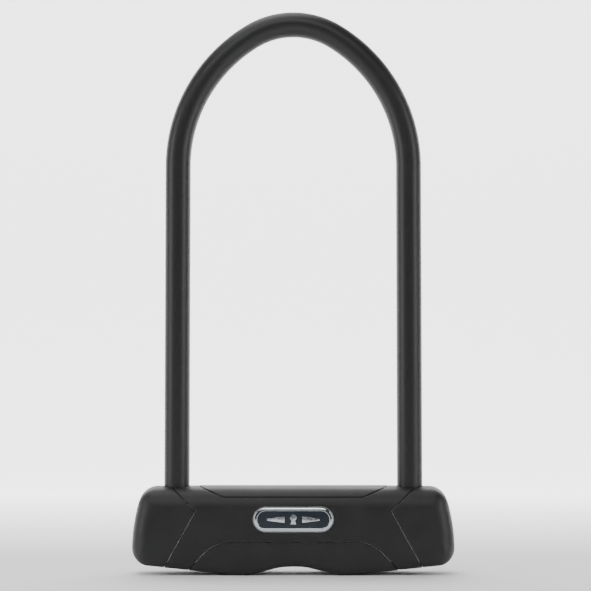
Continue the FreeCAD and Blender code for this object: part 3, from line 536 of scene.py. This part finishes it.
materials = {
    "shell_plastic": grainedPlastic("shellPlastic", (0.009, 0.009, 0.0095), (0.014, 0.014, 0.0145),
                                    (0.44, 0.52)),
    "strip_plastic": grainedPlastic("stripPlastic", (0.010, 0.010, 0.0105), (0.015, 0.015, 0.0155),
                                    (0.42, 0.50)),
    "sleeve_vinyl": satinVinyl("sleeveVinyl"),
    "badge_chrome": brightMetal("badgeChrome", (0.55, 0.60, 0.63), (0.62, 0.67, 0.70),
                                (0.12, 0.2), bump=0.0004 * mm),
    "badge_slate": grainedPlastic("badgeSlate", (0.012, 0.018, 0.026), (0.020, 0.028, 0.038),
                                  (0.28, 0.36)),
    "badge_silver": brightMetal("badgeSilver", (0.64, 0.67, 0.69), (0.70, 0.73, 0.75),
                                (0.24, 0.32), bump=0.0003 * mm),
    "case_steel": brightMetal("caseSteel", (0.45, 0.46, 0.47), (0.58, 0.58, 0.57),
                              (0.28, 0.42), (1, 12, 12)),
    "hard_steel": brightMetal("hardSteel", (0.34, 0.35, 0.36), (0.46, 0.47, 0.48),
                              (0.22, 0.36), (1, 1, 8)),
    "cast_zinc": brightMetal("castZinc", (0.42, 0.43, 0.44), (0.55, 0.56, 0.57), (0.38, 0.52)),
    "key_brass": brightMetal("keyBrass", (0.60, 0.44, 0.20), (0.74, 0.56, 0.28), (0.24, 0.36)),
    "felt": grainedPlastic("felt", (0.008, 0.008, 0.008), (0.02, 0.02, 0.02), (0.8, 0.95)),
}


def makePanels():
    whole = buildSkin()
    kinds = {
        "front_cover": "cover", "rear_cover": "cover",
        "end_cap_left": "cap", "end_cap_right": "cap",
        "top_strip": "strip", "grip_strip": "strip",
    }
    for node, kind in kinds.items():
        bm = takePanel(whole, node)
        finishPanel(bm, levels[kind])
        slot = "strip_plastic" if kind == "strip" else "shell_plastic"
        piece = toObject(bm, node + "_skin", materials[slot])
        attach(piece, "crossbar")
        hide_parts(node)
        print("panel", node, len(piece.data.polygons))
    whole.free()


rim = {
    # across the frame, in mm: how far in from its outline, and how far above the skin
    "profile": ((0, -0.55), (0, -0.05), (0.08, 0.06), (0.25, 0.13), (0.75, 0.27), (1.2, 0.39),
                (1.42, 0.42), (1.58, 0.38), (1.7, 0.26), (1.74, 0.1), (1.74, -0.45)),
}
slate = {
    "inset": 1.7 * mm,
    "skirt": 0.5 * mm,
    "height": 0.02 * mm,
    "dome": 0.08 * mm,
    "rings": 9,
}
sign = {
    "base": 0.02 * mm,
    "height": 0.30 * mm,
    "edge": 0.14 * mm,
    "eyeRadius": 1.6 * mm,
    "eyeHeight": 0.9 * mm,
    "eyeOpen": 58,
    "eyeSteps": 20,
    "footHalf": 1.5 * mm,
    "footDrop": 2.4 * mm,
    # corners of the bar on the right, in mm
    "bar": ((4.5, -1.6), (13.5, -0.5), (13.5, 0.5), (4.5, 1.6)),
}


def onFace(x, z, height):
    return Vector((x, faceY(x, z) - height, z))


def stadiumRing(inset, corners=26, runs=16):
    # outline of the badge moved inwards by the inset, anticlockwise seen from the front
    radius = badge["halfHeight"] - inset
    straight = badge["halfLength"] - badge["halfHeight"]
    points = []
    for side in (1, -1):
        for step in range(corners):
            angle = math.pi * (step / corners - 0.5)
            points.append((side * (straight + radius * math.cos(angle)), side * radius * math.sin(angle)))
        for step in range(runs):
            points.append((side * straight * (1 - 2 * step / runs), side * radius))
    return points


def bridgeRings(bm, rings):
    loops = []
    for ring, height in rings:
        verts = [bm.verts.new(onFace(x, badge["z"] + z, height)) for x, z in ring]
        loops.append(verts)
    for outer, inner in zip(loops, loops[1:]):
        for i, vert in enumerate(outer):
            j = (i + 1) % len(outer)
            bm.faces.new((vert, outer[j], inner[j], inner[i]))
    return loops


def keyholeOutline():
    eye = Vector((0, sign["eyeHeight"]))
    points = [(-sign["footHalf"], -sign["footDrop"]), (sign["footHalf"], -sign["footDrop"])]
    for step in range(sign["eyeSteps"] + 1):
        turned = (180 + 2 * sign["eyeOpen"]) * step / sign["eyeSteps"]
        angle = math.radians(-sign["eyeOpen"] + turned)
        points.append((eye.x + sign["eyeRadius"] * math.cos(angle),
                       eye.y + sign["eyeRadius"] * math.sin(angle)))
    return points


def barOutline(side):
    points = [(side * x * mm, z * mm) for x, z in sign["bar"]]
    return points if side > 0 else points[::-1]


def makeRim():
    bm = bmesh.new()
    bridgeRings(bm, [(stadiumRing(inset * mm), height * mm) for inset, height in rim["profile"]])
    bmesh.ops.recalc_face_normals(bm, faces=bm.faces)
    return toObject(bm, "badge_rim", materials["badge_chrome"], sharp=50)


def makeSlate():
    bm = bmesh.new()
    rings = [(stadiumRing(slate["inset"]), -slate["skirt"])]
    depth = badge["halfHeight"] - slate["inset"]
    for step in range(slate["rings"]):
        t = step / slate["rings"]
        height = slate["height"] + slate["dome"] * math.sin(t * math.pi / 2)
        rings.append((stadiumRing(slate["inset"] + depth * t), height))
    loops = bridgeRings(bm, rings)
    bm.faces.new(loops[-1])
    bmesh.ops.triangulate(bm, faces=[face for face in bm.faces if len(face.verts) > 4])
    bmesh.ops.recalc_face_normals(bm, faces=bm.faces)
    return toObject(bm, "badge_slate", materials["badge_slate"], sharp=40)


def makeSign():
    bm = bmesh.new()
    for outline in (keyholeOutline(), barOutline(1), barOutline(-1)):
        floor = [bm.verts.new(onFace(x, badge["z"] + z, sign["base"])) for x, z in outline]
        face = bm.faces.new(floor)
        done = bmesh.ops.extrude_face_region(bm, geom=[face])
        top = [item for item in done["geom"] if isinstance(item, bmesh.types.BMVert)]
        bmesh.ops.translate(bm, vec=(0, -sign["height"], 0), verts=top)
        edges = {edge for vert in top for edge in vert.link_edges if edge.other_vert(vert) in top}
        bmesh.ops.bevel(bm, geom=list(edges), offset=sign["edge"], segments=3, profile=0.5,
                        affect="EDGES", material=-1)
    bmesh.ops.recalc_face_normals(bm, faces=bm.faces)
    return toObject(bm, "badge_sign", materials["badge_silver"], sharp=50)


def makeBadge():
    pieces = (
        (makeRim(), "badge_frame", "badge_chrome"),
        (makeSlate(), "badge_plate", "badge_slate"),
        (makeSign(), "badge_emblem", "badge_silver"),
    )
    for piece, node, slot in pieces:
        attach(piece, "crossbar")
        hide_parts(node)
        print("badge", node, len(piece.data.polygons))


shutter = {
    "rib": 0.55 * mm,
    "ribHeight": 0.6 * mm,
    "ribInset": 1.5 * mm,
    "ribShort": 2.6 * mm,
    "edge": 0.3 * mm,
    "ribEdge": 0.9,
    "ribs": 5,
}


def addBlock(bm, low, high, bevel):
    done = bmesh.ops.create_cube(bm, size=1)
    size = Vector(high) - Vector(low)
    bmesh.ops.scale(bm, vec=size, verts=done["verts"])
    bmesh.ops.translate(bm, vec=(Vector(low) + Vector(high)) / 2, verts=done["verts"])
    edges = {edge for vert in done["verts"] for edge in vert.link_edges}
    bmesh.ops.bevel(bm, geom=list(edges), offset=bevel, segments=3, profile=0.5,
                    affect="EDGES", material=-1)


def makeShutter():
    low, high = shutterBox
    bm = bmesh.new()
    base = low[2] + shutter["ribHeight"]
    addBlock(bm, (low[0], low[1], base), high, shutter["edge"])
    pitch = 2 * (high[0] - shutter["ribInset"]) / (shutter["ribs"] - 1)
    for number in range(shutter["ribs"]):
        x = -high[0] + shutter["ribInset"] + pitch * number
        ribLow = (x - shutter["rib"], low[1] + shutter["ribShort"], low[2])
        ribHigh = (x + shutter["rib"], high[1] - shutter["ribShort"], base + shutter["edge"])
        addBlock(bm, ribLow, ribHigh, shutter["edge"] * shutter["ribEdge"])
    bmesh.ops.recalc_face_normals(bm, faces=bm.faces)
    piece = toObject(bm, "shutter_slide", materials["strip_plastic"], sharp=50)
    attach(piece, "shutter")
    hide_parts("keyhole_shutter")
    print("shutter", len(piece.data.polygons))


# the sleeve's centre line: two straight legs, an arc on each side and one over the crown
sleeve = {
    "springLine": 212.5 * mm,
    "sideArc": 81.1 * mm,
    "crownArc": 41.8 * mm,
    "wall": 0.6 * mm,
    "around": 56,
    "legRows": 40,
    "sideRows": 40,
    "crownRows": 24,
    "weld": 0.001 * mm,
}


def makeSleeve():
    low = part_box("shackle_sleeve")[0][2]
    springLine = sleeve["springLine"]
    offset = sleeve["sideArc"] - legs["x"]
    crownZ = springLine + math.sqrt((sleeve["sideArc"] - sleeve["crownArc"]) ** 2 - offset ** 2)
    sideAngle = math.atan2(crownZ - springLine, offset)
    bm = bmesh.new()
    foot = Matrix.Translation((legs["x"], 0, low))
    bmesh.ops.create_circle(bm, radius=legs["sleeveRadius"], segments=sleeve["around"], matrix=foot)

    def straight(edges, rise):
        parts = sleeve["legRows"]
        for _ in range(parts):
            done = bmesh.ops.extrude_edge_only(bm, edges=edges)
            verts = [item for item in done["geom"] if isinstance(item, bmesh.types.BMVert)]
            bmesh.ops.translate(bm, vec=(0, 0, rise / parts), verts=verts)
            edges = [item for item in done["geom"] if isinstance(item, bmesh.types.BMEdge)
                     and all(vert in verts for vert in item.verts)]
        return edges

    def bend(edges, centre, angle, parts):
        done = bmesh.ops.spin(bm, geom=edges, cent=centre, axis=(0, -1, 0), angle=angle, steps=parts)
        return [item for item in done["geom_last"] if isinstance(item, bmesh.types.BMEdge)]

    edges = straight(bm.edges[:], springLine - low)
    edges = bend(edges, (-offset, 0, springLine), sideAngle, sleeve["sideRows"])
    edges = bend(edges, (0, 0, crownZ), math.pi - 2 * sideAngle, sleeve["crownRows"])
    edges = bend(edges, (offset, 0, springLine), sideAngle, sleeve["sideRows"])
    straight(edges, low - springLine)
    bmesh.ops.remove_doubles(bm, verts=bm.verts, dist=sleeve["weld"])
    bmesh.ops.recalc_face_normals(bm, faces=bm.faces)
    bmesh.ops.solidify(bm, geom=bm.faces[:], thickness=sleeve["wall"])
    bmesh.ops.recalc_face_normals(bm, faces=bm.faces)
    piece = toObject(bm, "vinyl_sleeve", materials["sleeve_vinyl"])
    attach(piece, "shackle")
    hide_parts("shackle_sleeve")
    print("sleeve", len(piece.data.polygons))


def dressFrame():
    # gives every piece of the frame the material of its slot
    slots = {part["node"]: part["material_slot"] for part in frame["record"]["subparts"]}
    for name, piece in frame["nodes"].items():
        material = materials[slots[name]]
        piece.data.materials.clear()
        piece.data.materials.append(material)
    print("frame", len(frame["nodes"]))


# the glow is painted light: the floor and backdrop shine brighter towards the back, as if a lamp lit the
# backdrop
stage = {
    "half": 3.0,
    "back": 0.9,
    "sweep": 0.6,
    "height": 2.4,
    "steps": 16,
    "glow": 2.6,
    "glowFrom": 0.12,
    "white": 0.88,
}


def stageWhiteGlow():
    material, tree, shader = newMaterial("stageWhiteGlow")
    place = addNode(tree, "ShaderNodeTexCoord")
    split = addNode(tree, "ShaderNodeSeparateXYZ")
    tree.links.new(place.outputs["Object"], split.inputs["Vector"])
    # painted light: emission grows from just behind the lock up to the backdrop, in place of a lamp on
    # the backdrop
    glow = ramp(tree, split.outputs["Y"], 0, stage["glow"], (stage["glowFrom"], stage["back"]))
    shader.inputs["Base Color"].default_value = (stage["white"], stage["white"], stage["white"], 1)
    shader.inputs["Roughness"].default_value = 0.8
    shader.inputs["Emission Color"].default_value = (1, 1, 1, 1)
    tree.links.new(glow, shader.inputs["Emission Strength"])
    return material


def makeStage():
    # a floor that sweeps up into a backdrop
    bm = bmesh.new()
    line = [(-stage["half"], 0), (stage["back"], 0)]
    for step in range(1, stage["steps"] + 1):
        angle = math.radians(90) * step / stage["steps"]
        y = stage["back"] + stage["sweep"] * math.sin(angle)
        line.append((y, stage["sweep"] * (1 - math.cos(angle))))
    line.append((stage["back"] + stage["sweep"], stage["height"]))
    rows = [[bm.verts.new((side * stage["half"], y, z)) for y, z in line] for side in (-1, 1)]
    for i in range(len(line) - 1):
        bm.faces.new((rows[0][i], rows[1][i], rows[1][i + 1], rows[0][i + 1]))
    floor = toObject(bm, "floor", stageWhiteGlow())
    print("stage")


def addLight(name, place, aim, size, power):
    data = bpy.data.lights.new(name, "AREA")
    data.shape = "RECTANGLE"
    data.size, data.size_y = size
    data.energy = power
    light = bpy.data.objects.new(name, data)
    light.location = place
    light.rotation_euler = (Vector(aim) - Vector(place)).to_track_quat("-Z", "Y").to_euler()
    bpy.context.collection.objects.link(light)


# a tall strip to each side, one light overhead and one high in front; bearings in degrees
studio = {
    "middle": (0, 0, 0.14),
    "strips": {"leftStrip": -68, "rightStrip": 62},
    "stripAway": 1.15,
    "stripRise": 0.12,
    "stripSize": (0.5, 1.1),
    "stripPower": 7.0,
    "overheadPlace": (-0.15, 0.05, 1.15),
    "overheadSize": (1.0, 0.7),
    "overheadPower": 7,
    "frontPlace": (-0.2, -1.1, 1.1),
    "frontSize": (1.4, 0.4),
    "frontPower": 7,
    "air": 0.05,
}


def makeLights():
    middle = Vector(studio["middle"])
    away = studio["stripAway"]
    for name, azimuth in studio["strips"].items():
        angle = math.radians(azimuth)
        place = middle + Vector((away * math.sin(angle), -away * math.cos(angle), studio["stripRise"]))
        addLight(name, place, middle, studio["stripSize"], studio["stripPower"])
    addLight("overhead", studio["overheadPlace"], middle, studio["overheadSize"], studio["overheadPower"])
    addLight("frontUpper", studio["frontPlace"], middle, studio["frontSize"], studio["frontPower"])
    world = bpy.data.worlds.new("studio")
    world.use_nodes = True
    air = world.node_tree.nodes["Background"]
    air.inputs["Color"].default_value = (1, 1, 1, 1)
    air.inputs["Strength"].default_value = studio["air"]
    bpy.context.scene.world = world
    print("lights")


# the camera stands in front, a little lower than what it looks at
view = {
    "sensor": 36,
    "lens": 116.2,
    "shift": 0.0037,
    "distance": 1.0,
    "rise": 3.45,
    "target": (0, 0, 0.1445),
}


def makeCamera():
    data = bpy.data.cameras.new("camera")
    data.sensor_width = view["sensor"]
    data.lens = view["lens"]
    data.shift_x = view["shift"]
    camera = bpy.data.objects.new("camera", data)
    rise = math.radians(view["rise"])
    target = Vector(view["target"])
    back = Vector((0, -view["distance"] * math.cos(rise), -view["distance"] * math.sin(rise)))
    camera.location = target + back
    camera.rotation_euler = (target - camera.location).to_track_quat("-Z", "Y").to_euler()
    bpy.context.collection.objects.link(camera)
    bpy.context.scene.camera = camera
    print("camera")


makePanels()
makeBadge()
makeShutter()
makeSleeve()
dressFrame()
makeStage()
makeLights()
makeCamera()
